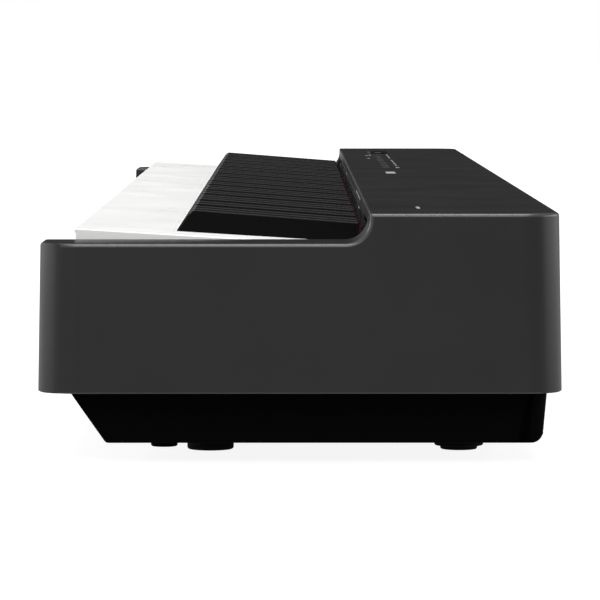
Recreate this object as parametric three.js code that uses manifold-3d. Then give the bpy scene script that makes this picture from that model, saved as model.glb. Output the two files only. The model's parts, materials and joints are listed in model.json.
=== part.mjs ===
// A portable digital piano with 88 keys, in millimetres.
// +X runs to the player's right, +Y to the rear, +Z up, and z = 0 is the surface that the feet stand on.
import * as THREE from "three";
import { mergeVertices } from "three/addons/utils/BufferGeometryUtils.js";
import Module from "manifold-3d";

const wasm = await Module();
wasm.setup();

// Case
const caseLength = 1326;
const caseDepth = 268;
const topHeight = 129;
const armHeight = 113.7;
const splitHeight = 37.5; // the upper case starts here
const caseCornerRadius = 20;
const caseWall = 3;
const draftSlope = Math.tan(THREE.MathUtils.degToRad(1));
const lipWidth = 14;
const beyond = 400; // how far a cutting block runs past what it cuts
const gap = 0.3; // between pieces that meet

// Key well
const wellHalfWidth = 613;
const panelFaceY = 35.3; // the panel's front face, behind the keys
const panelFaceBottom = 112.3;
const armFilletRadius = 12;

// Keys
const whitePitch = 23.5;
const keyGap = 0.9;
const whiteCount = 52;
const slotWidth = 12.6; // the space that a black key stands in
const whiteFrontY = -117.1;
const whiteTopFront = 119.3;
const whiteFrontHeight = 21.5;
const keySlope = 0.0615; // the key tops fall this much for each millimetre to the rear
const notchY = -66.3;
const fulcrumY = 97;
const tailBottom = 93;
const keyboardLeft = (-whiteCount * whitePitch) / 2;

// Lower case
const trayBottom = 10.5;
const trayHalfLength = 643;
const trayFrontTopY = -125;
const trayFrontBottomY = -99.5;
const trayRearY = 128;
const trayCornerRadius = 12;
const speakerX = 475;

// Controls on the panel
const controlY = 62;
const firstButtonX = -410;
const buttonPitch = 40;
const buttonCount = 8;
const powerX = -456;
const sliderX = [-566, -489];
const buttonSize = { width: 14, depth: 6, rim: 1.5 };
const proud = 0.3; // how far a cap stands above the panel

const finishes = {
  casePlastic: { color: 0x353536, roughness: 0.55 },
  trayPlastic: { color: 0x101011, roughness: 0.6 },
  keyWhite: { color: 0xf1f0ea, roughness: 0.3 },
  keyBlack: { color: 0x19191a, roughness: 0.45 },
  felt: { color: 0x6d0f14, roughness: 1 },
  rubber: { color: 0x0d0d0d, roughness: 0.9 },
  steel: { color: 0xb0b4b8, roughness: 0.4, metalness: 0.9 },
  board: { color: 0x1d5a34, roughness: 0.6 },
  control: { color: 0x1c1c1d, roughness: 0.5 },
};

// ---- solids ----

function solidOf(geometry) {
  geometry.deleteAttribute("normal");
  geometry.deleteAttribute("uv");
  const merged = mergeVertices(geometry, 1e-4);
  return new wasm.Manifold(
    new wasm.Mesh({
      numProp: 3,
      vertProperties: merged.attributes.position.array,
      triVerts: new Uint32Array(merged.index.array),
    }),
  );
}

function geometryOf(solid) {
  const mesh = solid.getMesh();
  const geometry = new THREE.BufferGeometry();
  geometry.setAttribute("position", new THREE.BufferAttribute(mesh.vertProperties, 3));
  geometry.setIndex(new THREE.BufferAttribute(mesh.triVerts, 1));
  return geometry;
}

function block([x0, x1], [y0, y1], [z0, z1]) {
  const geometry = new THREE.BoxGeometry(x1 - x0, y1 - y0, z1 - z0);
  return solidOf(geometry.translate((x0 + x1) / 2, (y0 + y1) / 2, (z0 + z1) / 2));
}

function outlineOf(points) {
  return new THREE.Shape(points.map(([u, v]) => new THREE.Vector2(u, v)));
}

// An outline in the YZ plane, carried along X.
function alongX(outline, [x0, x1], curveSegments = 8) {
  const options = { depth: x1 - x0, bevelEnabled: false, curveSegments };
  const geometry = new THREE.ExtrudeGeometry(outline, options);
  const turn = new THREE.Matrix4().makeBasis(
    new THREE.Vector3(0, 1, 0),
    new THREE.Vector3(0, 0, 1),
    new THREE.Vector3(1, 0, 0),
  );
  return solidOf(geometry.applyMatrix4(turn).translate(x0, 0, 0));
}

// An outline in the XZ plane, carried along Y.
function alongY(outline, [y0, y1]) {
  const geometry = new THREE.ExtrudeGeometry(outline, { depth: y1 - y0, bevelEnabled: false });
  return solidOf(geometry.rotateX(Math.PI / 2).translate(0, y1, 0));
}

// An outline in the XY plane, carried up Z.
function alongZ(outline, [z0, z1], curveSegments = 6) {
  const options = { depth: z1 - z0, bevelEnabled: false, curveSegments };
  return solidOf(new THREE.ExtrudeGeometry(outline, options).translate(0, 0, z0));
}

function roundBar(radius, [from, to], sides, axis, [u, v]) {
  const geometry = new THREE.CylinderGeometry(radius, radius, to - from, sides);
  const middle = (from + to) / 2;
  if (axis === "z") geometry.rotateX(Math.PI / 2).translate(u, v, middle);
  else geometry.translate(u, middle, v);
  return solidOf(geometry);
}

// A turned piece on a vertical axis: pairs of radius and height, starting and ending on the axis.
function turned(profile, sides, [x, y]) {
  const points = profile.map(([radius, height]) => new THREE.Vector2(radius, height));
  const geometry = new THREE.LatheGeometry(points, sides);
  return solidOf(geometry.rotateX(Math.PI / 2).translate(x, y, 0));
}

function roundedPlan(halfLength, y0, y1, radius) {
  const shape = new THREE.Shape();
  const right = halfLength - radius;
  shape.absarc(right, y0 + radius, radius, -Math.PI / 2, 0);
  shape.absarc(right, y1 - radius, radius, 0, Math.PI / 2);
  shape.absarc(-right, y1 - radius, radius, Math.PI / 2, Math.PI);
  shape.absarc(-right, y0 + radius, radius, Math.PI, 1.5 * Math.PI);
  shape.closePath();
  return shape;
}

function together(solids) {
  return solids.reduce((sum, next) => sum.add(next));
}

function node(name, solid, finish) {
  const mesh = new THREE.Mesh(geometryOf(solid), new THREE.MeshStandardMaterial(finishes[finish]));
  mesh.name = name;
  return mesh;
}

// ---- upper case ----

// The outer block, or with an inset the hollow in it. Its sides lean in by the draft.
function caseBlock(inset, [z0, z1]) {
  const half = caseDepth / 2 - inset;
  const plan = roundedPlan(caseLength / 2 - inset, -half, half, caseCornerRadius - inset);
  const options = { depth: z1 - z0, bevelEnabled: false, curveSegments: 6 };
  const geometry = new THREE.ExtrudeGeometry(plan, options).translate(0, 0, z0);
  const position = geometry.attributes.position;
  for (let i = 0; i < position.count; i++) {
    const lean = (position.getZ(i) - splitHeight) * draftSlope;
    position.setX(i, position.getX(i) - Math.sign(position.getX(i)) * lean);
    position.setY(i, position.getY(i) - Math.sign(position.getY(i)) * lean);
  }
  return solidOf(geometry);
}

// What is cut away above the arms, up to the panel's face, with the hollow corner between them.
function armCut(thickness) {
  const floor = armHeight - thickness;
  const radius = armFilletRadius + thickness;
  const shape = new THREE.Shape();
  const centreY = panelFaceY - armFilletRadius;
  shape.moveTo(-beyond, floor);
  shape.lineTo(centreY, floor);
  shape.absarc(centreY, armHeight + armFilletRadius, radius, -Math.PI / 2, 0);
  shape.lineTo(panelFaceY + thickness, beyond);
  shape.lineTo(-beyond, beyond);
  return alongX(shape, [-caseLength, caseLength]);
}

function screwPosts() {
  const places = [-1, 1].flatMap((side) => [
    { x: side * 628, y: -80, top: armHeight - 1 },
    { x: side * 628, y: 90, top: topHeight - 1 },
  ]);
  return places.map(({ x, y, top }) =>
    roundBar(5, [trayBottom + caseWall + gap, top], 8, "z", [x, y]),
  );
}

const slotX = [501, 603];
const slotZ = [117, 123.1];
const rearJackX = [66, 184];
const rearJackZ = [50, 70];
const phonesX = [-600, -556];
const phonesZ = [52, 70];

function buttonPlaces() {
  return Array.from({ length: buttonCount }, (_, i) => firstButtonX + i * buttonPitch);
}

function panelCuts() {
  const through = [topHeight - 2 * caseWall, topHeight + caseWall];
  const half = buttonSize.width / 2 + gap;
  const deep = buttonSize.depth / 2 + gap;
  const buttons = buttonPlaces().map((x) =>
    block([x - half, x + half], [controlY - deep, controlY + deep], through),
  );
  const power = roundBar(5 + gap, through, 16, "z", [powerX, controlY + 1]);
  const slider = block(sliderX, [61, 68], through);
  return together([...buttons, power, slider]);
}

function upperCase() {
  const outer = caseBlock(0, [splitHeight, topHeight]).subtract(armCut(0));
  const hollowTop = topHeight - caseWall;
  const hollow = caseBlock(caseWall, [splitHeight - 1, hollowTop]).subtract(armCut(caseWall));
  const faceBack = panelFaceY + caseWall;
  const everyX = [-caseLength, caseLength];
  const everyZ = [0, beyond];
  const cheekWalls = [-1, 1].map((side) => {
    const ends = [side * wellHalfWidth, side * (wellHalfWidth + caseWall)].sort((a, b) => a - b);
    return outer.intersect(block(ends, [-beyond, faceBack], everyZ));
  });
  const lipInside = block(
    [-caseLength / 2 + lipWidth, caseLength / 2 - lipWidth],
    [-caseDepth / 2 + lipWidth, caseDepth / 2 - lipWidth],
    everyZ,
  );
  const lip = outer
    .intersect(block(everyX, [-beyond, beyond], [splitHeight, splitHeight + caseWall]))
    .subtract(lipInside);
  const face = block(
    [-wellHalfWidth - 1, wellHalfWidth + 1],
    [panelFaceY, faceBack],
    [panelFaceBottom, topHeight - 1],
  );
  const well = block([-wellHalfWidth, wellHalfWidth], [-beyond, panelFaceY], everyZ);
  let shell = together([outer.subtract(hollow), ...cheekWalls, lip]).subtract(well);
  shell = together([shell, face, ...screwPosts()]).subtract(panelCuts());
  const faceSlot = block(slotX, [panelFaceY - 1, faceBack + 1], slotZ);
  const leftSlot = block([-slotX[1], -slotX[0]], [panelFaceY - 1, faceBack + 1], slotZ);
  const jackHole = block(rearJackX, [caseDepth / 2 - 8, caseDepth / 2 + 8], rearJackZ);
  return shell.subtract(together([faceSlot, leftSlot, jackHole]));
}

// The rail across the front of the keys, between the arms.
const slipTop = 98;

function keySlip() {
  const front = -caseDepth / 2;
  const lean = (slipTop - splitHeight) * draftSlope;
  const outline = outlineOf([
    [front, splitHeight],
    [front + lipWidth, splitHeight],
    [front + lipWidth, splitHeight + caseWall],
    [front + caseWall, splitHeight + caseWall],
    [front + caseWall + lean, slipTop - caseWall],
    [-121.5, slipTop - caseWall],
    [-121.5, slipTop],
    [front + lean, slipTop],
  ]);
  const reach = wellHalfWidth - gap;
  const hole = block(phonesX, [front - 1, front + 6], phonesZ);
  return alongX(outline, [-reach, reach]).subtract(hole);
}

// ---- lower case ----

function trayBlock(inset, top) {
  const bottom = trayBottom + inset;
  const rearRadius = 6;
  const shape = new THREE.Shape();
  shape.moveTo(trayFrontTopY + inset, top);
  shape.lineTo(trayFrontBottomY + inset, bottom);
  shape.absarc(trayRearY - 3 - inset - rearRadius, bottom + rearRadius, rearRadius, -Math.PI / 2, 0);
  shape.lineTo(trayRearY - inset, top);
  const halfLength = trayHalfLength - inset;
  const cornerRadius = trayCornerRadius - inset;
  const planRear = trayRearY - inset;
  const plan = roundedPlan(halfLength, trayFrontTopY + inset, planRear, cornerRadius);
  return alongX(shape, [-halfLength, halfLength], 4).intersect(alongZ(plan, [0, 60], 4));
}

const supportRibs = [-600, -360, -120, 120, 360, 600];
const bossPlace = { x: 596, y: -71, radius: 7, bottom: 4.5 };
const grilleSlots = { count: 9, pitch: 9, width: 3, length: 62 };

function speakerSlots(side) {
  const first = side * speakerX - ((grilleSlots.count - 1) / 2) * grilleSlots.pitch;
  const slots = Array.from({ length: grilleSlots.count }, (_, i) => {
    const x = first + i * grilleSlots.pitch;
    const half = grilleSlots.width / 2;
    return block([x - half, x + half], [-grilleSlots.length / 2, grilleSlots.length / 2], [0, 20]);
  });
  return together(slots);
}

function lowerCase() {
  const rimTop = splitHeight - gap;
  const shell = trayBlock(0, rimTop).subtract(trayBlock(caseWall, rimTop + 1));
  const floor = trayBottom + 1;
  const ribs = supportRibs.map((x) => block([x - 1.5, x + 1.5], [-80, 80], [floor, frameBase - gap]));
  const bosses = [-1, 1].map((side) =>
    roundBar(bossPlace.radius, [bossPlace.bottom, floor], 16, "z", [side * bossPlace.x, bossPlace.y]),
  );
  const slots = together([speakerSlots(-1), speakerSlots(1)]);
  return together([shell, ...ribs, ...bosses]).subtract(slots);
}

function frontFoot(side) {
  const profile = [
    [0, 0],
    [10.4, 0],
    [11.8, 0.6],
    [12.35, 2],
    [12.35, trayBottom - gap],
    [0, trayBottom - gap],
  ];
  return turned(profile, 20, [side * 566, -47.4]);
}

// A pad in a wider cup.
function rearFoot(side) {
  const profile = [
    [0, 0],
    [9.3, 0],
    [9.8, 0.5],
    [9.8, 2],
    [12.4, 2],
    [13, 2.6],
    [13, trayBottom - gap],
    [0, trayBottom - gap],
  ];
  return turned(profile, 20, [side * 566, 84.5]);
}

// ---- key bed ----

const frameBase = 47;
const frameSheet = 2;

function keyFrame() {
  const reach = wellHalfWidth - 1;
  const ends = [-reach, reach];
  const sheets = [
    block(ends, [-92, 92], [frameBase, frameBase + frameSheet]),
    block(ends, [-92, -90], [frameBase, 84]),
    block(ends, [-112, -90], [82, 84]),
    block(ends, [86, 88], [frameBase, 89]),
    block(ends, [86, 124], [86, 89]),
    block(ends, [fulcrumY - 2, fulcrumY + 2], [88, tailBottom - gap]),
  ];
  return together(sheets);
}

function feltStrip() {
  const reach = wellHalfWidth - 2;
  return block([-reach, reach], [31.9, 38], [110.5, panelFaceBottom - gap]);
}

// ---- keys ----

function whiteTop(y) {
  return whiteTopFront - keySlope * (y - whiteFrontY);
}

// Left edges of the black keys' spaces within an octave, from its C.
const groupOfThree = (3 * whitePitch - 2 * slotWidth) / 3;
const groupOfFour = (4 * whitePitch - 3 * slotWidth) / 4;
const slots = {
  "c_sharp": groupOfThree,
  "d_sharp": 2 * groupOfThree + slotWidth,
  "f_sharp": 3 * whitePitch + groupOfFour,
  "g_sharp": 3 * whitePitch + 2 * groupOfFour + slotWidth,
  "a_sharp": 3 * whitePitch + 3 * groupOfFour + 2 * slotWidth,
};
const naturals = ["c", "d", "e", "f", "g", "a", "b"];
const octaveWidth = naturals.length * whitePitch;

// How a key ends behind its fulcrum. The three kinds of comb pass over one another there.
const tails = {
  single: { end: 100, step: 100, bottom: tailBottom },
  raised: { end: 100, step: 92, bottom: 98.5 },
  low: { end: 100, step: 100, bottom: tailBottom, bar: [94, 100], barZ: [tailBottom, 97] },
  middle: { end: 110, step: 92, bottom: 98.5, bar: [104, 110], barZ: [94, 100.5] },
  high: { end: 120, step: 92, bottom: 102.3, bar: [114, 120], barZ: [102.3, 107.3] },
};

function whiteOutline(tail) {
  const underside = whiteTopFront - whiteFrontHeight;
  return outlineOf([
    [whiteFrontY, underside],
    [notchY, underside],
    [90, tailBottom],
    [tail.step, tailBottom],
    [tail.step + 0.01, tail.bottom],
    [tail.end + 0.01, tail.bottom],
    [tail.end, whiteTop(tail.end)],
    [whiteFrontY, whiteTopFront],
  ]);
}

function whiteKey(letter, tail, options = {}) {
  const index = naturals.indexOf(letter);
  const left = index * whitePitch + keyGap / 2;
  const right = (index + 1) * whitePitch - keyGap / 2;
  const before = options.noLeftSlot ? undefined : slots[naturals[index - 1] + "_sharp"];
  const after = options.noRightSlot ? undefined : slots[letter + "_sharp"];
  const tailLeft = before === undefined ? left : before + slotWidth;
  const tailRight = after === undefined ? right : after;
  const head = block([left, right], [whiteFrontY - 1, notchY], [0, 150]);
  const stalk = block([tailLeft, tailRight], [notchY - 1, beyond], [0, 150]);
  const pocket = block([tailLeft + 2, tailRight - 2], [whiteFrontY + 2.5, 80], [0, 104]);
  const side = alongX(whiteOutline(tail), [left - 1, right + 1]);
  return head.add(stalk).intersect(side).subtract(pocket);
}

const capRearY = 31.4;

function blackKey(letter, tail) {
  const middle = slots[letter] + slotWidth / 2;
  const shoulder = 108;
  const outline = outlineOf([
    [-65.3, 101],
    [90, 94],
    [tail.step, 94],
    [tail.step + 0.01, Math.max(tail.bottom, 94)],
    [tail.end + 0.01, Math.max(tail.bottom, 94)],
    [tail.end, 107.3],
    [capRearY, shoulder],
    [capRearY, 120.7],
    [-55.7, 127.5],
    [-57.3, 127],
    [-58.6, 125.6],
    [-65.3, 116],
  ]);
  const section = outlineOf([
    [middle - 5.5, 90],
    [middle + 5.5, 90],
    [middle + 5.5, 116],
    [middle + 4.7, 128],
    [middle - 4.7, 128],
    [middle - 5.5, 116],
  ]);
  const pocket = block([middle - 3.5, middle + 3.5], [-60, 28], [0, 112]);
  const side = alongX(outline, [middle - 6, middle + 6]);
  return side.intersect(alongY(section, [-beyond, beyond])).subtract(pocket);
}

// Keys moulded on one bar, which joins them behind the fulcrum.
function comb(keys, tail, [from, to]) {
  return together([...keys, block([from, to], tail.bar, tail.barZ)]);
}

function octaveSets(number) {
  const group = new THREE.Group();
  group.position.x = keyboardLeft + 2 * whitePitch + (number - 1) * octaveWidth;
  const low = ["c", "e", "g", "b"].map((letter) => whiteKey(letter, tails.low));
  const middle = ["d", "f", "a"].map((letter) => whiteKey(letter, tails.middle));
  const high = Object.keys(slots).map((letter) => blackKey(letter, tails.high));
  const edge = keyGap / 2;
  const label = "octave_" + number;
  group.add(node(label + "_keys_c_e_g_b", comb(low, tails.low, [edge, octaveWidth - edge]), "keyWhite"));
  const middleBar = [slots.c_sharp + slotWidth, slots.a_sharp];
  group.add(node(label + "_keys_d_f_a", comb(middle, tails.middle, middleBar), "keyWhite"));
  const highBar = [slots.c_sharp + 1, slots.a_sharp + slotWidth - 1];
  group.add(node(label + "_keys_sharps", comb(high, tails.high, highBar), "keyBlack"));
  return group;
}

function singleKeys(number) {
  const group = new THREE.Group();
  group.position.x = keyboardLeft + 2 * whitePitch + (number - 1) * octaveWidth;
  for (const letter of naturals)
    group.add(node("key_" + letter + number, whiteKey(letter, tails.single), "keyWhite"));
  for (const letter of Object.keys(slots))
    group.add(node("key_" + letter + number, blackKey(letter, tails.single), "keyBlack"));
  return group;
}

// The three keys below the first C.
function lowestKeys() {
  const group = new THREE.Group();
  group.position.x = keyboardLeft + 2 * whitePitch - octaveWidth;
  const pair = [whiteKey("a", tails.low, { noLeftSlot: true }), whiteKey("b", tails.low)];
  const bar = [5 * whitePitch + keyGap / 2, octaveWidth - keyGap / 2];
  group.add(node("keys_a0_b0", comb(pair, tails.low, bar), "keyWhite"));
  group.add(node("key_a_sharp0", blackKey("a_sharp", tails.raised), "keyBlack"));
  return group;
}

function highestKey() {
  const group = new THREE.Group();
  group.position.x = keyboardLeft + 2 * whitePitch + 7 * octaveWidth;
  group.add(node("key_c8", whiteKey("c", tails.single, { noRightSlot: true }), "keyWhite"));
  return group;
}

// ---- controls ----

const stemBottom = 118.5;
const flangeZ = [123, topHeight - caseWall - gap];

function functionButton() {
  const { width, depth, rim } = buttonSize;
  const cap = block([-width / 2, width / 2], [-depth / 2, depth / 2], [flangeZ[0], topHeight + proud]);
  const flange = block(
    [-width / 2 - rim, width / 2 + rim],
    [-depth / 2 - rim, depth / 2 + rim],
    flangeZ,
  );
  const stem = block([-2, 2], [-1.5, 1.5], [stemBottom, flangeZ[0] + 1]);
  return together([cap, flange, stem]);
}

function powerButton() {
  const profile = [
    [0, stemBottom],
    [2, stemBottom],
    [2, flangeZ[0]],
    [6.5, flangeZ[0]],
    [6.5, flangeZ[1]],
    [5, flangeZ[1]],
    [5, topHeight + proud],
    [0, topHeight + proud],
  ];
  return turned(profile, 16, [0, 0]);
}

const sliderMiddle = { x: (sliderX[0] + sliderX[1]) / 2, y: 64.5 };

function sliderBase() {
  const [from, to] = sliderX;
  const body = block([from - 4, to + 4], [58, 71], [118, flangeZ[1]]);
  return body.subtract(block([from + 6, to - 6], [63.2, 65.8], [120.5, topHeight]));
}

// Local to the slider's middle.
function sliderCap() {
  const head = block([-6, 6], [-3.1, 3.1], [126.2, topHeight + proud]);
  const stem = block([-2, 2], [-0.9, 0.9], [121, 127]);
  return head.add(stem);
}

// ---- inside and sockets ----

// A cone in a basket, facing down on the tray's floor, with its magnet on top.
function speaker(side) {
  const seat = trayBottom + caseWall + gap;
  const profile = [
    [0, seat + 4.1],
    [10, seat + 3.4],
    [31, seat + 0.6],
    [40, seat],
    [40, seat + 2],
    [34, seat + 2],
    [20, 30],
    [20, 41],
    [0, 41],
  ];
  return turned(profile, 20, [side * speakerX, 0]);
}

// A black liner pushed into the panel's face from behind, with a shallow tray in its front.
function soundSlot(side) {
  const ends = [side * slotX[0], side * slotX[1]].sort((a, b) => a - b);
  const front = panelFaceY + 0.2;
  const wall = 0.8;
  const liner = block([ends[0] + gap, ends[1] - gap], [front, 39], [slotZ[0] + gap, slotZ[1] - gap]);
  const flange = block([ends[0] - 4, ends[1] + 4], [38.6, 42.2], [slotZ[0] - 2.5, slotZ[1] + 1.5]);
  const inside = [ends[0] + gap + wall, ends[1] - gap - wall];
  const tray = block(inside, [front - 1, 41], [slotZ[0] + gap + wall, slotZ[1] - gap - wall]);
  return liner.add(flange).subtract(tray);
}

const boardTop = 116.2;
const switchTop = stemBottom - 1.1; // just below a stem that is pressed right down

function mainBoard() {
  const ends = [-590, -110];
  const sheet = block(ends, [50, 95], [boardTop - 1.6, boardTop]);
  const spacers = ends.flatMap((x) =>
    [55, 90].map((y) => roundBar(3, [boardTop - 1, flangeZ[1]], 8, "z", [x - Math.sign(x + 300) * 8, y])),
  );
  const switches = [...buttonPlaces(), powerX].map((x) =>
    block([x - 3, x + 3], [controlY - 3, controlY + 3], [boardTop - 1, switchTop]),
  );
  return together([sheet, ...spacers, ...switches]);
}

const socketRadius = 3.3;
const rearSockets = { pedal: 88, usb: 118, power: 148 };
const phonesSockets = [-588, -568];

function rearJackPanel() {
  const middle = (rearJackZ[0] + rearJackZ[1]) / 2;
  const outside = 132.4;
  const ends = [rearJackX[0] + gap, rearJackX[1] - gap];
  const plate = block(ends, [128, outside], [rearJackZ[0] + gap, rearJackZ[1] - gap]);
  const body = block([ends[0] + 6, ends[1] - 20], [98, 129], [rearJackZ[0] + 1, rearJackZ[1] - 1]);
  const cuts = [
    roundBar(socketRadius, [102, outside + 1], 12, "y", [rearSockets.pedal, middle]),
    block([rearSockets.usb - 6.2, rearSockets.usb + 6.2], [116, outside + 1], [middle - 5.5, middle + 5.5]),
    roundBar(socketRadius, [121, outside + 1], 12, "y", [rearSockets.power, middle]),
  ];
  return plate.add(body).subtract(together(cuts));
}

function phonesJackPanel() {
  const middle = (phonesZ[0] + phonesZ[1]) / 2;
  const outside = -132.4;
  const ends = [phonesX[0] + gap, phonesX[1] - gap];
  const body = block(ends, [outside, -98], [phonesZ[0] + gap, phonesZ[1] - gap]);
  const cuts = phonesSockets.map((x) =>
    roundBar(socketRadius, [outside - 1, -102], 12, "y", [x, middle]),
  );
  return body.subtract(together(cuts));
}

// ---- the whole ----

function caseParts() {
  const group = new THREE.Group();
  group.add(node("upper_case", upperCase(), "casePlastic"));
  group.add(node("key_slip", keySlip(), "casePlastic"));
  group.add(node("lower_case", lowerCase(), "trayPlastic"));
  group.add(node("key_frame", keyFrame(), "steel"));
  group.add(node("key_felt", feltStrip(), "felt"));
  group.add(node("main_board", mainBoard(), "board"));
  group.add(node("rear_jack_panel", rearJackPanel(), "control"));
  group.add(node("phones_jack_panel", phonesJackPanel(), "control"));
  for (const [word, side] of [["left", -1], ["right", 1]]) {
    group.add(node("front_foot_" + word, frontFoot(side), "rubber"));
    group.add(node("rear_foot_" + word, rearFoot(side), "rubber"));
    group.add(node("speaker_" + word, speaker(side), "control"));
    group.add(node("sound_slot_" + word, soundSlot(side), "control"));
  }
  return group;
}

function controls() {
  const group = new THREE.Group();
  buttonPlaces().forEach((x, i) => {
    const button = node("function_button_" + (i + 1), functionButton(), "control");
    button.position.set(x, controlY, 0);
    group.add(button);
  });
  const power = node("power_button", powerButton(), "control");
  power.position.set(powerX, controlY + 1, 0);
  const cap = node("volume_slider_cap", sliderCap(), "control");
  cap.position.set(sliderMiddle.x, sliderMiddle.y, 0);
  group.add(power, cap, node("volume_slider_base", sliderBase(), "control"));
  return group;
}

const digitalPiano = new THREE.Group();
digitalPiano.add(caseParts(), controls(), lowestKeys(), highestKey());
for (const number of [1, 2, 3, 5, 6, 7]) digitalPiano.add(octaveSets(number));
digitalPiano.add(singleKeys(4));

export default digitalPiano;
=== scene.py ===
import json
import math
import random

import bmesh
import bpy
from mathutils import Euler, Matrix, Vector


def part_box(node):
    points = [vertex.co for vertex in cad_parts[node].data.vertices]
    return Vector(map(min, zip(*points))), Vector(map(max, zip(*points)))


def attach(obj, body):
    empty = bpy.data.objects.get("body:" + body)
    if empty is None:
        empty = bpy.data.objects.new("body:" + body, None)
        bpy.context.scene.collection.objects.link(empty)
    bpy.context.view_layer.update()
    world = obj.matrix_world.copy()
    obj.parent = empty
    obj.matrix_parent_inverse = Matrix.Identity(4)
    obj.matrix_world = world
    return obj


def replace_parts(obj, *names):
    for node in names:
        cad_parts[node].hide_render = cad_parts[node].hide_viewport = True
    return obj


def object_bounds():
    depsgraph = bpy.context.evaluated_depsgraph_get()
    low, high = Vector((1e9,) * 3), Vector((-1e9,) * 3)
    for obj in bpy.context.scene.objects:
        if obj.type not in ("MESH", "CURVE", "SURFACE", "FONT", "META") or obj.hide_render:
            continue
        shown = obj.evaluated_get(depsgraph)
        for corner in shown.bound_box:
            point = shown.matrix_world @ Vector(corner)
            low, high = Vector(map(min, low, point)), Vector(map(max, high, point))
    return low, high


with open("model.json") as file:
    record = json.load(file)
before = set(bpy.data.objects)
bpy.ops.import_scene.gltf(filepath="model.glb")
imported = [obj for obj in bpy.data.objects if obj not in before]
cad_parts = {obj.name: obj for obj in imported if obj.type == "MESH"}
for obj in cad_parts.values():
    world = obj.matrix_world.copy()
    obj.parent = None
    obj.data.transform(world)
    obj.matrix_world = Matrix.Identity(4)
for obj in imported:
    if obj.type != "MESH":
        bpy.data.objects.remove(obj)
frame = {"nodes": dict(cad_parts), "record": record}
scene = bpy.context.scene
cadLow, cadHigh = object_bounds()
nodes, record = frame["nodes"], frame["record"]
bodies = record["behaviour"]["bodies"]
nodeBody = {name: body for body, names in bodies.items() for name in names}
nodeSlot = {row["node"]: row["material_slot"] for row in record["subparts"]}
mm = 0.001


# The lowest and highest corners of a CAD node, in millimetres.
def boxOf(node):
    low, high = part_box(node)
    return Vector(low) / mm, Vector(high) / mm


def middleOf(node):
    low, high = boxOf(node)
    return (low + high) / 2


# Camera, floor and light.
studio = {
    "lens": 240.1,
    "sensor": 36,
    "clipEnd": 200,
    "cameraBeyondEnd": 2.0214,  # from the treble end of the case
    "cameraHeight": 0.21228,
    "cameraAside": -0.00374,
    "pitchDown": 3.5965,  # degrees
    "yawRight": 0.105,
    "floorSize": 60.0,
    "floorColour": (0.28, 0.28, 0.28),
    "floorRoughness": 0.8,
    "floorSpecular": 0.1,
    "floorGlow": 0.9,  # to the camera
    "floorGlowOnPiano": 0.18,
    "overheadSun": 2.6,
    "overheadAngle": 40.0,
    "overheadPlace": (0.5, 0, 3),
    "horizonBehind": 0.02,  # what the far side of the room gives to the glancing panel
    "horizonFront": 0.17,
    "horizonSpan": (-0.9, 0.6),  # directions along x
    "horizonAside": 0.28,  # more on the player's side, which the panel's front edge catches
    "asideSpan": (-0.02, -0.3),  # directions along y
    "zenith": 0.3,
    "zenithSpan": (0.45, 0.95),  # directions along z
    "sideStrip": 12.5,
    "sideStripAway": 1.5,
    "sideStripHeight": 0.5,
    "sideStripSize": (2.2, 0.8),
    "sideStripAim": (0, 0, 0.1),
    "frontFill": 63.0,
    "frontFillPlace": (4.1, 0, 2.5),
    "frontFillAim": (0.6, 0, 0.1),
    "frontFillSize": (3.0, 2.0),
}


def makeCamera():
    data = bpy.data.cameras.new("camera")
    data.lens = studio["lens"]
    data.sensor_width = studio["sensor"]
    data.clip_end = studio["clipEnd"]
    camera = bpy.data.objects.new("camera", data)
    along = cadHigh.x + studio["cameraBeyondEnd"]
    camera.location = (along, studio["cameraAside"], studio["cameraHeight"])
    tilt = math.radians(90 - studio["pitchDown"])
    turn = math.radians(90 - studio["yawRight"])
    camera.rotation_euler = Euler((tilt, 0, turn))
    scene.collection.objects.link(camera)
    scene.camera = camera


# A value carried from one span to another.
def mapped(tree, value, span, result, kind="SMOOTHSTEP"):
    node = tree.nodes.new("ShaderNodeMapRange")
    node.interpolation_type = kind
    numbers = zip(("From Min", "From Max", "To Min", "To Max"), (*span, *result))
    for name, number in numbers:
        node.inputs[name].default_value = number
    tree.links.new(value, node.inputs["Value"])
    return node.outputs["Result"]


def added(tree, first, second):
    node = tree.nodes.new("ShaderNodeMath")
    node.operation = "ADD"
    tree.links.new(first, node.inputs[0])
    tree.links.new(second, node.inputs[1])
    return node.outputs["Value"]


def wire(tree, *wires):
    for source, output, target, entry in wires:
        tree.links.new(source.outputs[output], target.inputs[entry])


def makeFloor():
    half = studio["floorSize"] / 2
    corners = [(-half, -half, 0), (half, -half, 0), (half, half, 0), (-half, half, 0)]
    mesh = bpy.data.meshes.new("floor")
    mesh.from_pydata(corners, [], [(0, 1, 2, 3)])
    floor = bpy.data.objects.new("floor", mesh)
    scene.collection.objects.link(floor)
    material = bpy.data.materials.new("paleFloor")
    material.use_nodes = True
    shader = material.node_tree.nodes["Principled BSDF"]
    shader.inputs["Base Color"].default_value = (*studio["floorColour"], 1)
    shader.inputs["Roughness"].default_value = studio["floorRoughness"]
    shader.inputs["Specular IOR Level"].default_value = studio["floorSpecular"]
    shader.inputs["Emission Color"].default_value = (1, 1, 1, 1)
    tree = material.node_tree
    ray = tree.nodes.new("ShaderNodeLightPath")
    glows = (studio["floorGlowOnPiano"], studio["floorGlow"])
    glow = mapped(tree, ray.outputs["Is Camera Ray"], (0, 1), glows)
    tree.links.new(glow, shader.inputs["Emission Strength"])
    mesh.materials.append(material)


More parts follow.
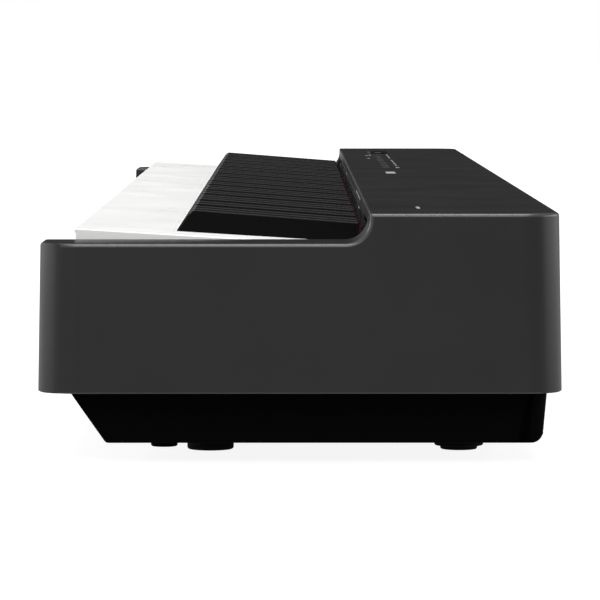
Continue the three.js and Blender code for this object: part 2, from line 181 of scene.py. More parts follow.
def makeLamp(name, kind, energy, place, aim, size=None):
    data = bpy.data.lights.new(name, kind)
    data.energy = energy
    palePiece = bpy.data.objects.new(name, data)
    palePiece.location = place
    palePiece.rotation_euler = (Vector(aim) - Vector(place)).to_track_quat("-Z", "Y").to_euler()
    if size:
        data.shape = "RECTANGLE"
        data.size, data.size_y = size
    scene.collection.objects.link(palePiece)
    return data


# A room that is darker behind the bass end and paler behind the camera, which sees it white.
def makeWorld():
    world = bpy.data.worlds.new("studio")
    scene.world = world
    world.use_nodes = True
    tree = world.node_tree
    tree.nodes.clear()
    kinds = ("OutputWorld", "LightPath", "MixShader", "Background", "Background")
    output, ray, mix, soft, seen = (tree.nodes.new("ShaderNode" + kind) for kind in kinds)
    direction = tree.nodes.new("ShaderNodeTexCoord")
    parts = tree.nodes.new("ShaderNodeSeparateXYZ")
    wire(
        tree,
        (direction, "Generated", parts, "Vector"),
        (ray, "Is Camera Ray", mix, "Fac"),
        (soft, "Background", mix, 1),
        (seen, "Background", mix, 2),
        (mix, "Shader", output, "Surface"),
    )
    ends = (studio["horizonBehind"], studio["horizonFront"])
    horizon = mapped(tree, parts.outputs["X"], studio["horizonSpan"], ends)
    overhead = mapped(tree, parts.outputs["Z"], studio["zenithSpan"], (0, studio["zenith"]))
    aside = mapped(tree, parts.outputs["Y"], studio["asideSpan"], (0, studio["horizonAside"]))
    total = added(tree, added(tree, horizon, overhead), aside)
    tree.links.new(total, soft.inputs["Strength"])
    for background in (soft, seen):
        background.inputs["Color"].default_value = (1, 1, 1, 1)
    seen.inputs["Strength"].default_value = 1.0


def makeLight():
    sun = makeLamp("overhead", "SUN", studio["overheadSun"], studio["overheadPlace"], (0, 0, 0))
    sun.angle = math.radians(studio["overheadAngle"])
    for side, name in ((-1, "frontStrip"), (1, "rearStrip")):
        place = (0, side * studio["sideStripAway"], studio["sideStripHeight"])
        strip = (place, studio["sideStripAim"], studio["sideStripSize"])
        makeLamp(name, "AREA", studio["sideStrip"], *strip)
    fill = (studio["frontFillPlace"], studio["frontFillAim"], studio["frontFillSize"])
    makeLamp("frontFill", "AREA", studio["frontFill"], *fill)
    makeWorld()
    scene.view_settings.view_transform = "Standard"


makeCamera()
makeFloor()
makeLight()
print("stage: camera, floor and light")


def objectPoint(tree, stretch):
    place = tree.nodes.new("ShaderNodeTexCoord")
    mapping = tree.nodes.new("ShaderNodeMapping")
    mapping.inputs["Scale"].default_value = stretch
    tree.links.new(place.outputs["Object"], mapping.inputs["Vector"])
    return mapping.outputs["Vector"]


def noise(tree, point, size, detail):
    node = tree.nodes.new("ShaderNodeTexNoise")
    node.inputs["Scale"].default_value = 1 / size
    node.inputs["Detail"].default_value = detail
    tree.links.new(point, node.inputs["Vector"])
    return node.outputs["Fac"]


# Most of a noise lies between 0.3 and 0.7.
def ranged(tree, value, low, high):
    return mapped(tree, value, (0.3, 0.7), (low, high), "LINEAR")


def shaded(colour, factor):
    return tuple(channel * factor for channel in colour)


plainLook = {  # what a finish is unless its own look says otherwise
    "stretch": (1, 1, 1),
    "driftSize": 0.06,
    "driftDetail": 3.0,
    "driftShare": 0.6,
    "grainSize": 0.0006,
    "grainDetail": 1.0,
    "grainShare": 0.4,
    "vary": 0.05,
    "smoother": 0.03,
    "rougher": 0.04,
    "depth": 0.00004,
    "bump": 0.4,
    "metal": 0,
    "specular": 0.5,
    "coat": 0,
    "coatRoughness": 0.1,
    "sheen": 0,
    "sheenRoughness": 0.5,
}


# Moulded or coated: slow drifts of tone and gloss, and a fine grain that stands up as bump.
def grained(name, ownLook):
    look = {**plainLook, **ownLook}
    material = bpy.data.materials.new(name)
    material.use_nodes = True
    tree = material.node_tree
    shader = tree.nodes["Principled BSDF"]
    point = objectPoint(tree, look["stretch"])
    drift = noise(tree, point, look["driftSize"], look["driftDetail"])
    grain = noise(tree, point, look["grainSize"], look["grainDetail"])
    tone = tree.nodes.new("ShaderNodeMix")
    tone.data_type = "RGBA"
    tone.inputs["A"].default_value = (*shaded(look["colour"], 1 - look["vary"]), 1)
    tone.inputs["B"].default_value = (*shaded(look["colour"], 1 + look["vary"]), 1)
    slow = ranged(tree, drift, 0, look["driftShare"])
    fine = ranged(tree, grain, 0, look["grainShare"])
    tree.links.new(added(tree, slow, fine), tone.inputs["Factor"])
    tree.links.new(tone.outputs["Result"], shader.inputs["Base Color"])
    smooth, rough = look["roughness"] - look["smoother"], look["roughness"] + look["rougher"]
    tree.links.new(ranged(tree, drift, smooth, rough), shader.inputs["Roughness"])
    height = tree.nodes.new("ShaderNodeBump")
    height.inputs["Distance"].default_value = look["depth"]
    height.inputs["Strength"].default_value = look["bump"]
    tree.links.new(grain, height.inputs["Height"])
    tree.links.new(height.outputs["Normal"], shader.inputs["Normal"])
    fixed = {
        "Metallic": "metal",
        "Specular IOR Level": "specular",
        "Coat Weight": "coat",
        "Coat Roughness": "coatRoughness",
        "Sheen Weight": "sheen",
        "Sheen Roughness": "sheenRoughness",
    }
    for socketName, key in fixed.items():
        shader.inputs[socketName].default_value = look[key]
    return material


def inkOf(tone):
    return {"colour": (tone, tone, tone), "roughness": 0.55, "bump": 0.1, "depth": 0.00001}


finishLooks = {
    "charcoalPlastic": {
        "colour": (0.0128, 0.0128, 0.013),
        "roughness": 0.33,
        "specular": 0.4,
        "bump": 0.15,
    },
    # Glossier than the charcoal, which is the edges' own, and lighter in colour, which is a
    # painted highlight along every rounded edge.
    "charcoalEdgePaintedHighlight": {
        "colour": (0.045, 0.045, 0.0453),
        "roughness": 0.24,
        "specular": 0.45,
        "bump": 0.06,
    },
    "trayPlastic": {
        "colour": (0.0016, 0.0016, 0.0017),
        "roughness": 0.55,
        "specular": 0.02,
        "grainSize": 0.0009,
    },
    "whiteKey": {
        "colour": (0.92, 0.92, 0.91),
        "roughness": 0.3,
        "vary": 0.008,
        "bump": 0.12,
        "specular": 0.35,
    },
    "blackKey": {
        "colour": (0.0045, 0.0045, 0.0047),
        "roughness": 0.28,
        "stretch": (1, 0.12, 1),
        "vary": 0.12,
        "specular": 0.03,
    },
    # Glossier than the key, and twice as light in colour: the lighter colour is a painted
    # highlight on the rounded edges.
    "blackKeyEdgePaintedHighlight": {
        "colour": (0.009, 0.009, 0.0092),
        "roughness": 0.3,
        "specular": 0.08,
        "bump": 0.1,
    },
    # Far lighter than the key: a painted highlight on the black keys' front rounding.
    "blackKeyNosePaintedHighlight": {
        "colour": (0.032, 0.032, 0.0323),
        "roughness": 0.28,
        "specular": 0.4,
        "bump": 0.1,
    },
    "redFelt": {
        "colour": (0.021, 0.0014, 0.0018),
        "roughness": 0.95,
        "grainSize": 0.0009,
        "depth": 0.0005,
        "bump": 0.9,
        "vary": 0.3,
        "specular": 0.0,
        "sheen": 0.05,
    },
    "footRubber": {
        "colour": (0.008, 0.008, 0.008),
        "roughness": 0.8,
        "vary": 0.12,
        "specular": 0.15,
    },
    "pressedSteel": {
        "colour": (0.5, 0.51, 0.52),
        "roughness": 0.38,
        "metal": 1,
        "stretch": (0.05, 1, 1),
    },
    "boardGreen": {
        "colour": (0.02, 0.11, 0.045),
        "roughness": 0.35,
        "grainSize": 0.002,
        "vary": 0.2,
    },
    "speakerPaper": {"colour": (0.02, 0.02, 0.02), "roughness": 0.85, "vary": 0.2, "bump": 0.8},
    "speakerMetal": {"colour": (0.16, 0.16, 0.165), "roughness": 0.45, "metal": 0.9},
    "controlPlastic": {"colour": (0.013, 0.013, 0.0135), "roughness": 0.42, "specular": 0.35},
    # Near-black: painted shade inside the sound slots and round the slider.
    "recessPaintedShade": {"colour": (0.002, 0.002, 0.002), "roughness": 0.6, "specular": 0.1},
    "printedMark": inkOf(0.2),
    "brightMark": inkOf(0.36),
    "faintMark": inkOf(0.09),
    # Pale: the lenses of the power ring and the panel lamps, and the painted highlights let into
    # the function buttons.
    "lensAndPaintedHighlight": {"colour": (0.62, 0.63, 0.62), "roughness": 0.18, "coat": 0.5},
    "screwBlack": {"colour": (0.03, 0.03, 0.031), "roughness": 0.35, "metal": 0.85},
    "contactMetal": {"colour": (0.62, 0.6, 0.55), "roughness": 0.25, "metal": 1},
}
finish = {name: grained(name, look) for name, look in finishLooks.items()}
slotFinish = {
    "case_plastic": "charcoalPlastic",
    "tray_plastic": "trayPlastic",
    "white_key": "whiteKey",
    "black_key": "blackKey",
    "key_felt": "redFelt",
    "foot_rubber": "footRubber",
    "frame_steel": "pressedSteel",
    "speaker_metal": "speakerMetal",
    "circuit_board": "boardGreen",
    "control_plastic": "controlPlastic",
}
print("stage: materials")


# Pieces are given in millimetres, and their meshes are in metres.
def link(name, mesh, look):
    piece = bpy.data.objects.new(name, mesh)
    scene.collection.objects.link(piece)
    mesh.materials.clear()
    mesh.materials.append(finish[look])
    return piece


def fromShape(name, shape, look):
    mesh = bpy.data.meshes.new(name)
    shape.to_mesh(mesh)
    shape.free()
    return link(name, mesh, look)


def plain(piece):
    graph = bpy.context.evaluated_depsgraph_get()
    mesh = bpy.data.meshes.new_from_object(piece.evaluated_get(graph), depsgraph=graph)
    piece.modifiers.clear()
    piece.data = mesh
    return piece


# Smooth where the surface is round, flat where it is flat.
def polish(piece, degrees=35):
    piece.data.shade_smooth()
    piece.data.set_sharp_from_angle(angle=math.radians(degrees))
    weighted = piece.modifiers.new("flat", "WEIGHTED_NORMAL")
    weighted.keep_sharp = True
    return plain(piece)


def settle(piece, body, slotName):
    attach(piece, body)
    return piece


def takesOver(piece, node):
    settle(piece, nodeBody[node], nodeSlot[node])
    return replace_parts(piece, node)


# Several pieces as one, which keeps the first one's name.
def joined(pieces):
    shape = bmesh.new()
    looks = []
    for piece in pieces:
        material = piece.data.materials[0]
        if material not in looks:
            looks.append(material)
        before = len(shape.faces)
        shape.from_mesh(piece.data)
        shape.faces.ensure_lookup_table()
        for face in shape.faces[before:]:
            face.material_index = looks.index(material)
    mesh = bpy.data.meshes.new(pieces[0].name)
    shape.to_mesh(mesh)
    shape.free()
    for material in looks:
        mesh.materials.append(material)
    first = pieces[0]
    first.data = mesh
    for piece in pieces[1:]:
        bpy.data.objects.remove(piece)
    return first


def arc(centre, radius, start, end, steps):
    turns = [math.radians(start + (end - start) * i / steps) for i in range(steps + 1)]
    return [(centre[0] + radius * math.cos(t), centre[1] + radius * math.sin(t)) for t in turns]


def roundedRectangle(low, high, radius, steps=6):
    left, right = low[0] + radius, high[0] - radius
    front, rear = low[1] + radius, high[1] - radius
    outline = []
    for i, corner in enumerate(((right, front), (right, rear), (left, rear), (left, front))):
        outline += arc(corner, radius, 90 * i - 90, 90 * i, steps)
    return outline


# A closed solid through rings of points that match one another.
def loft(name, rings, look):
    shape = bmesh.new()
    loops = [[shape.verts.new(Vector(point) * mm) for point in ring] for ring in rings]
    shape.faces.new(loops[0])
    shape.faces.new(loops[-1])
    count = len(loops[0])
    for below, above in zip(loops, loops[1:]):
        for i in range(count):
            j = (i + 1) % count
            shape.faces.new((below[i], below[j], above[j], above[i]))
    bmesh.ops.recalc_face_normals(shape, faces=shape.faces)
    return fromShape(name, shape, look)


turnOutline = {
    "x": lambda u, v, along: (along, u, v),
    "y": lambda u, v, along: (u, along, v),
    "z": lambda u, v, along: (u, v, along),
}


# An outline carried along an axis: along x it is in (y, z), along y in (x, z), along z in (x, y).
def prism(name, outline, span, axis, look="charcoalPlastic"):
    place = turnOutline[axis]
    return loft(name, [[place(u, v, along) for u, v in outline] for along in span], look)


def barBetween(name, low, high, look="charcoalPlastic"):
    outline = [(low[0], low[1]), (high[0], low[1]), (high[0], high[1]), (low[0], high[1])]
    return prism(name, outline, (low[2], high[2]), "z", look)


# A turned piece: pairs of radius and distance along its axis. A closed profile is a ring.
def turned(name, profile, centre, axis, look, sides=48, closed=False):
    shape = bmesh.new()
    place = turnOutline[axis]
    rings = []
    for radius, along in profile:
        count = sides if radius > 1e-6 else 1
        ring = []
        for i in range(count):
            turn = 2 * math.pi * i / sides
            u, v = centre[0] + radius * math.cos(turn), centre[1] + radius * math.sin(turn)
            ring.append(shape.verts.new(Vector(place(u, v, along)) * mm))
        rings.append(ring)
    pairs = list(zip(rings, rings[1:])) + ([(rings[-1], rings[0])] if closed else [])
    for below, above in pairs:
        for i in range(sides):
            j = i + 1
            lower = [below[i % len(below)], below[j % len(below)]]
            upper = [above[j % len(above)], above[i % len(above)]]
            corners = list(dict.fromkeys(lower + upper))
            if len(corners) > 2:
                shape.faces.new(corners)
    bmesh.ops.recalc_face_normals(shape, faces=shape.faces)
    return fromShape(name, shape, look)


# The profile of a plain round plug, for turned.
def plug(radius, span):
    return [(0, span[0]), (radius, span[0]), (radius, span[1]), (0, span[1])]


def combined(piece, other, operation):
    modifier = piece.modifiers.new("combine", "BOOLEAN")
    modifier.object = other
    modifier.operation = operation
    modifier.solver = "EXACT"
    plain(piece)
    bpy.data.objects.remove(other)
    return piece


def united(piece, other):
    return combined(piece, other, "UNION")


def cut(piece, *cutters):
    for cutter in cutters:
        combined(piece, cutter, "DIFFERENCE")
    return piece


# Rounds each edge by the radius that rule gives for its middle and direction.
# The rounded faces may take a finish of their own.
def roundEdges(piece, rule, segments=3, least=28, look=None):
    shape = bmesh.new()
    shape.from_mesh(piece.data)
    weights = shape.edges.layers.float.new("bevel_weight_edge")
    radii = {}
    for edge in shape.edges:
        if len(edge.link_faces) == 2 and edge.calc_face_angle() > math.radians(least):
            start, end = (v.co / mm for v in edge.verts)
            radius = rule((start + end) / 2, (end - start).normalized())
            if radius:
                radii[edge] = radius
    widest = max(radii.values())
    for edge, radius in radii.items():
        edge[weights] = radius / widest
    shape.to_mesh(piece.data)
    shape.free()
    bevel = piece.modifiers.new("bevel", "BEVEL")
    bevel.limit_method = "WEIGHT"
    bevel.width = widest * mm
    bevel.segments = segments
    bevel.use_clamp_overlap = False
    bevel.miter_outer = "MITER_ARC"
    if look:
        piece.data.materials.append(finish[look])
        bevel.material = 1
    return plain(piece)


# A CAD node's shape with its flat faces whole again, ready to be rounded.
def cleanCopy(name, node, look):
    shape = bmesh.new()
    shape.from_mesh(nodes[node].data)
    bmesh.ops.remove_doubles(shape, verts=shape.verts, dist=0.02 * mm)
    flat = math.radians(0.3)
    bmesh.ops.dissolve_limit(shape, angle_limit=flat, verts=shape.verts, edges=shape.edges)
    return fromShape(name, shape, look)


# One shape repeated in a straight row.
def makeRowTree():
    tree = bpy.data.node_groups.new("rowOf", "GeometryNodeTree")
    kinds = {
        "Shape": "Object",
        "Count": "Int",
        "Start": "Vector",
        "Step": "Vector",
        "Finish": "Material",
    }
    for name, kind in kinds.items():
        tree.interface.new_socket(name, in_out="INPUT", socket_type="NodeSocket" + kind)
    tree.interface.new_socket("Row", in_out="OUTPUT", socket_type="NodeSocketGeometry")
    given = tree.nodes.new("NodeGroupInput")
    points = tree.nodes.new("GeometryNodeMeshLine")
    points.mode = "OFFSET"
    shape = tree.nodes.new("GeometryNodeObjectInfo")
    shape.inputs["As Instance"].default_value = True
    copies = tree.nodes.new("GeometryNodeInstanceOnPoints")
    real = tree.nodes.new("GeometryNodeRealizeInstances")
    painted = tree.nodes.new("GeometryNodeSetMaterial")
    result = tree.nodes.new("NodeGroupOutput")
    wire(
        tree,
        (given, "Shape", shape, "Object"),
        (given, "Count", points, "Count"),
        (given, "Start", points, "Start Location"),
        (given, "Step", points, "Offset"),
        (points, "Mesh", copies, "Points"),
        (shape, "Geometry", copies, "Instance"),
        (copies, "Instances", real, "Geometry"),
        (real, "Geometry", painted, "Geometry"),
        (given, "Finish", painted, "Material"),
        (painted, "Geometry", result, "Row"),
    )
    return tree


rowTree = makeRowTree()


# The shape is modelled about the origin, and start is where its first copy goes.
def rowOf(name, shape, count, start, step, look):
    piece = link(name, bpy.data.meshes.new(name), look)
    row = piece.modifiers.new("row", "NODES")
    row.node_group = rowTree
    inputs = {
        "Shape": shape,
        "Count": count,
        "Start": [value * mm for value in start],
        "Step": [value * mm for value in step],
        "Finish": finish[look],
    }
    for item in rowTree.interface.items_tree:
        if item.in_out == "INPUT":
            row[item.identifier] = inputs[item.name]
    plain(piece)
    bpy.data.objects.remove(shape)
    return piece


case = {
    "cornerRadius": 20,
    "cornerSteps": 14,
    "draft": math.tan(math.radians(1)),
    "wall": 3,
    "lip": 14,
    "armTop": 113.7,
    "filletRadius": 12,
    "wellHalf": 613,
    "faceFoot": 112.3,
    "faceY": 35.3,
    "edge": 1.9,
    "faceEdge": 0.9,
    "wellEdge": 0.9,
    "footEdge": 0.7,
    "past": 900,  # how far a cutter runs past what it cuts
    "under": 5,  # how far a short cutter starts below the split
    "filletSteps": 16,
    "passage": 6,  # how deep the way in behind the keys is
    "socketClear": 0.3,
    "socketCorner": 1.5,
    "socketReach": 9,
}
# How near an edge is to a plane, or how straight it runs, to be counted as on it or along it.
edgeNear = {
    "plane": 0.5,
    "panel": 0.2,
    "outside": 2.2,
    "end": 3,
    "face": 3,
    "wellRear": 2.5,
    "along": 0.9,
    "upright": 0.999,
}
upperHigh = boxOf("upper_case")[1]
splitZ, panelZ = boxOf("key_slip")[0].z, upperHigh.z


def caseRing(inset, z):
    lean = (z - splitZ) * case["draft"]
    halfX, halfY = upperHigh.x - inset - lean, upperHigh.y - inset - lean
    radius = case["cornerRadius"] - inset
    outline = roundedRectangle((-halfX, -halfY), (halfX, halfY), radius, case["cornerSteps"])
    return [(x, y, z) for x, y in outline]


def caseBlock(name, inset, low, high):
    return loft(name, [caseRing(inset, low), caseRing(inset, high)], "charcoalPlastic")


# All that is open above the arms, thicker by the given wall.
def aboveArms(thicker):
    centre = (case["faceY"] - case["filletRadius"], case["armTop"] + case["filletRadius"])
    past = case["past"]
    outline = [(-past, case["armTop"] - thicker)]
    outline += arc(centre, case["filletRadius"] + thicker, -90, 0, case["filletSteps"])
    outline += [(case["faceY"] + thicker, past), (-past, past)]
    return prism("aboveArms", outline, (-past, past), "x")


def openBox(low, high):
    return barBetween("openBox", low, high)


def keyWell(thicker):
    half = case["wellHalf"] + thicker
    past = case["past"]
    return openBox((-half, -past, -past), (half, case["faceY"] + thicker, past))


def upperRule(mid, direction):
    atEnd = abs(mid.x) > upperHigh.x - edgeNear["end"]
    offSides = upperHigh.x - abs(mid.x), upperHigh.y - abs(mid.y)
    outside = min(offSides) < edgeNear["outside"]
    atWell = abs(abs(mid.x) - case["wellHalf"]) < edgeNear["plane"]
    if mid.z > panelZ - edgeNear["panel"]:
        byFace = mid.y < case["faceY"] + edgeNear["face"]
        alongFace = abs(direction.x) > edgeNear["along"] and byFace
        return case["faceEdge"] if alongFace else case["edge"]
    if mid.z < splitZ + edgeNear["plane"]:
        return case["footEdge"] if outside else 0
    if mid.z < case["armTop"] - edgeNear["plane"]:
        return 0
    if abs(direction.z) > edgeNear["upright"] and not atEnd:
        return 0
    if atWell:
        return case["wellEdge"] if mid.y < case["faceY"] - edgeNear["wellRear"] else 0
    return case["edge"] if outside or atEnd else 0


def hollowCutters():
    wall, lip = case["wall"], case["lip"]
    floor, under = splitZ + wall, splitZ - case["under"]
    rear = caseBlock("hollow", wall, floor, panelZ - wall)
    cut(rear, aboveArms(wall), keyWell(wall))
    half = Vector((upperHigh.x - lip, upperHigh.y - lip))
    mouth = openBox((-half.x, -half.y, under), (half.x, half.y, floor + 0.5))
    cut(mouth, keyWell(wall))
    well = case["wellHalf"]
    behind = case["faceY"] - 1
    passageEnd = (well, behind + case["passage"], case["faceFoot"])
    return [rear, mouth, openBox((-well, behind, under), passageEnd)]


buttonNames = ["function_button_" + str(i + 1) for i in range(8)]
buttons = {
    "width": 14,
    "depth": 6,
    "corner": 1.4,
    "clear": 0.3,
    "topEdge": 0.35,
    "flangeFoot": 123,
    "flangeTop": 125.7,
    "stemTop": 124,
    "stemHalf": (2, 1.5),
    "highlightRadius": 0.9,
    "highlightAside": -4.6,
    "highlightDeep": 0.3,
    "highlightSides": 20,
    "powerHole": 5.3,
}
sliderCorner = 1.2


def hole(outline, span, axis="z"):
    return prism("hole", outline, span, axis)


def panelHoles():
    holes = []
    span = (panelZ - 2 * case["wall"], panelZ + case["wall"])
    clear = Vector((buttons["clear"], buttons["clear"]))
    half = Vector((buttons["width"] / 2, buttons["depth"] / 2)) + clear
    for name in buttonNames:
        middle = middleOf(name).xy
        corner = buttons["corner"] + buttons["clear"]
        outline = roundedRectangle(middle - half, middle + half, corner)
        holes.append(hole(outline, span))
    powerHole = plug(buttons["powerHole"], span)
    place = middleOf("power_button").xy
    holes.append(turned("hole", powerHole, place, "z", "charcoalPlastic"))
    holes.append(hole(roundedRectangle(*sliderMouth(), sliderCorner), span))
    return holes


def sliderMouth():
    low, high = boxOf("volume_slider_base")
    return (low.x + 4, low.y + 3), (high.x - 4, high.y - 3)


slotNodes = ["sound_slot_left", "sound_slot_right"]
soundSlots = {
    "inset": 4,
    "bottom": 117.5,
    "top": 122.7,
    "corner": 1.6,
    "leastCorner": 0.4,
    "front": 35.5,
    "back": 41,
    "wall": 0.8,
    "clear": 0.25,
    "flangeFront": 38.6,
    "flangeCorner": 1.5,
    "bars": 14,
    "barInset": 10,
    "barHalf": (0.6, 0.7),
    "barShort": 0.6,
    "barBehind": 2.2,
}


def slotOutline(node, inward):
    low, high = boxOf(node)
    ends = (low.x + soundSlots["inset"] + inward, high.x - soundSlots["inset"] - inward)
    corner = max(soundSlots["corner"] - inward, soundSlots["leastCorner"])
    bottom, top = soundSlots["bottom"] + inward, soundSlots["top"] - inward
    return roundedRectangle((ends[0], bottom), (ends[1], top), corner)


def faceHoles():
    span = (case["faceY"] - 2, case["faceY"] + case["wall"] + 1)
    holes = [hole(slotOutline(node, 0), span, "y") for node in slotNodes]
    low, high = boxOf("rear_jack_panel")
    clear = Vector((1, 0, 1)) * case["socketClear"]
    plate = roundedRectangle((low - clear).xz, (high + clear).xz, case["socketCorner"])
    reach = case["socketReach"]
    return holes + [hole(plate, (upperHigh.y - reach, upperHigh.y + reach), "y")]


# Screw posts inside the ends.
posts = {"aside": 628, "front": -80, "rear": 90, "radius": 5, "foot": 13.8, "sides": 24}


def makeUpperCase():
    piece = caseBlock("upperCase", 0, splitZ, panelZ)
    cut(piece, aboveArms(0), keyWell(0))
    # The rounded edges take the lighter edge finish: a painted highlight along them.
    roundEdges(piece, upperRule, 4, look="charcoalEdgePaintedHighlight")
    cut(piece, *hollowCutters())
    for side in (-1, 1):
        for y, top in ((posts["front"], case["armTop"] - 1), (posts["rear"], panelZ - 1)):
            place = (side * posts["aside"], y)
            profile = plug(posts["radius"], (posts["foot"], top))
            post = turned("post", profile, place, "z", "charcoalPlastic", posts["sides"])
            united(piece, post)
    cut(piece, *panelHoles(), *faceHoles())
    polish(piece)
    takesOver(piece, "upper_case")


makeUpperCase()

slip = {"topEdge": 1.2, "frontEdge": 0.5, "frontBand": -132}


def slipRule(mid, direction):
    atTop = mid.z > boxOf("key_slip")[1].z - 1
    if atTop and abs(direction.x) > edgeNear["along"]:
        return slip["topEdge"]
    return slip["frontEdge"] if mid.y < slip["frontBand"] else 0


def makeKeySlip():
    piece = cleanCopy("keySlip", "key_slip", "charcoalPlastic")
    roundEdges(piece, slipRule)
    takesOver(polish(piece), "key_slip")


makeKeySlip()

tray = {
    "bottom": 10.5,
    "frontTop": -125,
    "frontBottom": -99.5,
    "rearRadius": 6,
    "rearLean": 3,
    "cornerRadius": 12,
    "wall": 3,
    "edge": 1.4,
    "sideEdge": 1.0,
    "endBand": 13,
    "cornerBand": 8,
    "rearBand": 100,
    "bossRadius": 7,
    "bossEdge": 0.6,
    "bossHole": 3,
    "bossHoleDeep": 0.8,
    "boss": (596, -71),
    "bossSides": 32,
    "ribs": (-600, -360, -120, 120, 360, 600),
    "ribHalf": Vector((1.5, 80)),
}
grille = {"middle": 475, "count": 9, "pitch": 9, "width": 3, "length": 62, "past": 8}
trayLow, trayHigh = boxOf("lower_case")


def trayBlock(name, inset, top):
    bottom, radius = tray["bottom"] + inset, tray["rearRadius"]
    rear = trayHigh.y - inset
    outline = [(tray["frontTop"] + inset, top), (tray["frontBottom"] + inset, bottom)]
    centre = (rear - tray["rearLean"] - radius, bottom + radius)
    outline += arc(centre, radius, -90, 0, 8) + [(rear, top)]
    half = trayHigh.x - inset
    piece = prism(name, outline, (-half, half), "x", "trayPlastic")
    corner = tray["cornerRadius"] - inset
    plan = roundedRectangle((-half, tray["frontTop"] + inset), (half, rear), corner, 10)
    return combined(piece, prism("plan", plan, (0, top + 20), "z", "trayPlastic"), "INTERSECT")


def trayRule(mid, direction):
    if mid.z > trayHigh.z - 1:
        return 0
    if mid.z < tray["bottom"] + 0.3:
        return tray["edge"]
    atCorner = mid.z < tray["bottom"] + tray["cornerBand"] and mid.y > tray["rearBand"]
    if atCorner and abs(mid.x) > trayHigh.x - tray["endBand"]:
        return tray["edge"]
    return tray["sideEdge"] if abs(direction.z) > 0.3 else 0


def bossProfile(top):
    radius, edge, bore = tray["bossRadius"], tray["bossEdge"], tray["bossHole"]
    low, deep = trayLow.z, trayLow.z + tray["bossHoleDeep"]
    profile = [(0, deep), (bore, deep), (bore, low), (radius - edge, low), (radius, low + edge)]
    return profile + [(radius, top), (0, top)]


def grilleBars(side):
    half = Vector((grille["width"] / 2, grille["length"] / 2))
    outline = roundedRectangle(-half, half, half.x - 0.05, 4)
    bar = prism("bar", outline, (-grille["past"], grille["past"]), "z", "trayPlastic")
    first = side * grille["middle"] - (grille["count"] - 1) / 2 * grille["pitch"]
    start, step = (first, 0, tray["bottom"] + 2), (grille["pitch"], 0, 0)
    return rowOf("bars", bar, grille["count"], start, step, "trayPlastic")


def makeLowerCase():
    piece = trayBlock("lowerCase", 0, trayHigh.z)
    roundEdges(piece, trayRule)
    cut(piece, trayBlock("inside", tray["wall"], trayHigh.z + 1))
    floor = tray["bottom"] + 1
    frameFoot = boxOf("key_frame")[0].z - 0.3
    half = tray["ribHalf"]
    for x in tray["ribs"]:
        low, high = (x - half.x, -half.y, floor), (x + half.x, half.y, frameFoot)
        united(piece, barBetween("rib", low, high, "trayPlastic"))
    for side in (-1, 1):
        place = (side * tray["boss"][0], tray["boss"][1])
        boss = turned("boss", bossProfile(floor), place, "z", "trayPlastic", tray["bossSides"])
        united(piece, boss)
    for side in (-1, 1):
        cut(piece, grilleBars(side))
    polish(piece)
    takesOver(piece, "lower_case")


makeLowerCase()
print("stage: case")

# Edges that the case or the next key hides stay sharp.
whiteKeys = {
    "frontEdge": 1.1,
    "sideEdge": 0.7,
    "cornerEdge": 0.6,
    "lip": 0.7,
    "lipHeight": 2.4,
    "lipEdge": 0.3,
    "lipCut": (700, 9, 80),  # half length, how far it runs forwards, and its foot
    "frontBand": 1.2,
    "hiddenBehind": 40,
    "hiddenBelow": 99.8,
    "hiddenFront": 98.5,
}
blackKeys = {"edge": 0.9, "hiddenBehind": 32, "hiddenBelow": 108}
nose = {"before": -54.6, "above": 124.5, "leanForward": -0.12, "leanUp": 0.25}
frontY, frontZ = boxOf("key_c8")[0].y, boxOf("key_c8")[1].z


def whiteRule(mid, direction):
    atFront = mid.y < frontY + whiteKeys["frontBand"]
    underLip = mid.z < frontZ - whiteKeys["lipHeight"] + 0.1
    if mid.y > whiteKeys["hiddenBehind"] or mid.z < whiteKeys["hiddenFront"]:
        return 0
    if mid.z < whiteKeys["hiddenBelow"] and not atFront:
        return 0
    if abs(direction.x) > edgeNear["along"]:
        if atFront and underLip:
            return whiteKeys["lipEdge"] if mid.y < frontY + 0.1 else 0
        return whiteKeys["frontEdge"] if atFront else whiteKeys["sideEdge"]
    if atFront and underLip and abs(direction.y) > edgeNear["along"]:
        return 0
    upright = abs(direction.z) > edgeNear["along"]
    return whiteKeys["cornerEdge"] if upright else whiteKeys["sideEdge"]


def blackRule(mid, direction):
    hidden = mid.y > blackKeys["hiddenBehind"] or mid.z < blackKeys["hiddenBelow"]
    return 0 if hidden else blackKeys["edge"]


# The rounded nose of a black key takes a much lighter, glossier finish: a painted highlight on
# its front rounding.
def paintNoseHighlight(piece):
    piece.data.materials.append(finish["blackKeyNosePaintedHighlight"])
    for face in piece.data.polygons:
        centre = face.center / mm
        atNose = centre.y < nose["before"] and centre.z > nose["above"]
        if atNose and face.normal.y < nose["leanForward"] and face.normal.z > nose["leanUp"]:
            face.material_index = 2


def makeWhiteKey(node):
    piece = cleanCopy(node + "_shape", node, "whiteKey")
    half, forwards, foot = whiteKeys["lipCut"]
    lip = frontY + whiteKeys["lip"], frontZ - whiteKeys["lipHeight"]
    cut(piece, barBetween("underLip", (-half, frontY - forwards, foot), (half, *lip)))
    takesOver(polish(roundEdges(piece, whiteRule)), node)


def makeBlackKey(node):
    piece = cleanCopy(node + "_shape", node, "blackKey")
    # The rounded edges take the lighter edge finish: a painted highlight along them.
    roundEdges(piece, blackRule, look="blackKeyEdgePaintedHighlight")
    paintNoseHighlight(piece)
    takesOver(polish(piece), node)


for node, slotName in nodeSlot.items():
    if slotName == "white_key":
        makeWhiteKey(node)
    elif slotName == "black_key":
        makeBlackKey(node)
print("stage: keys")

felt = {"step": 5, "waver": 0.12, "chamfer": 0.3, "seed": 7, "sharp": 50}


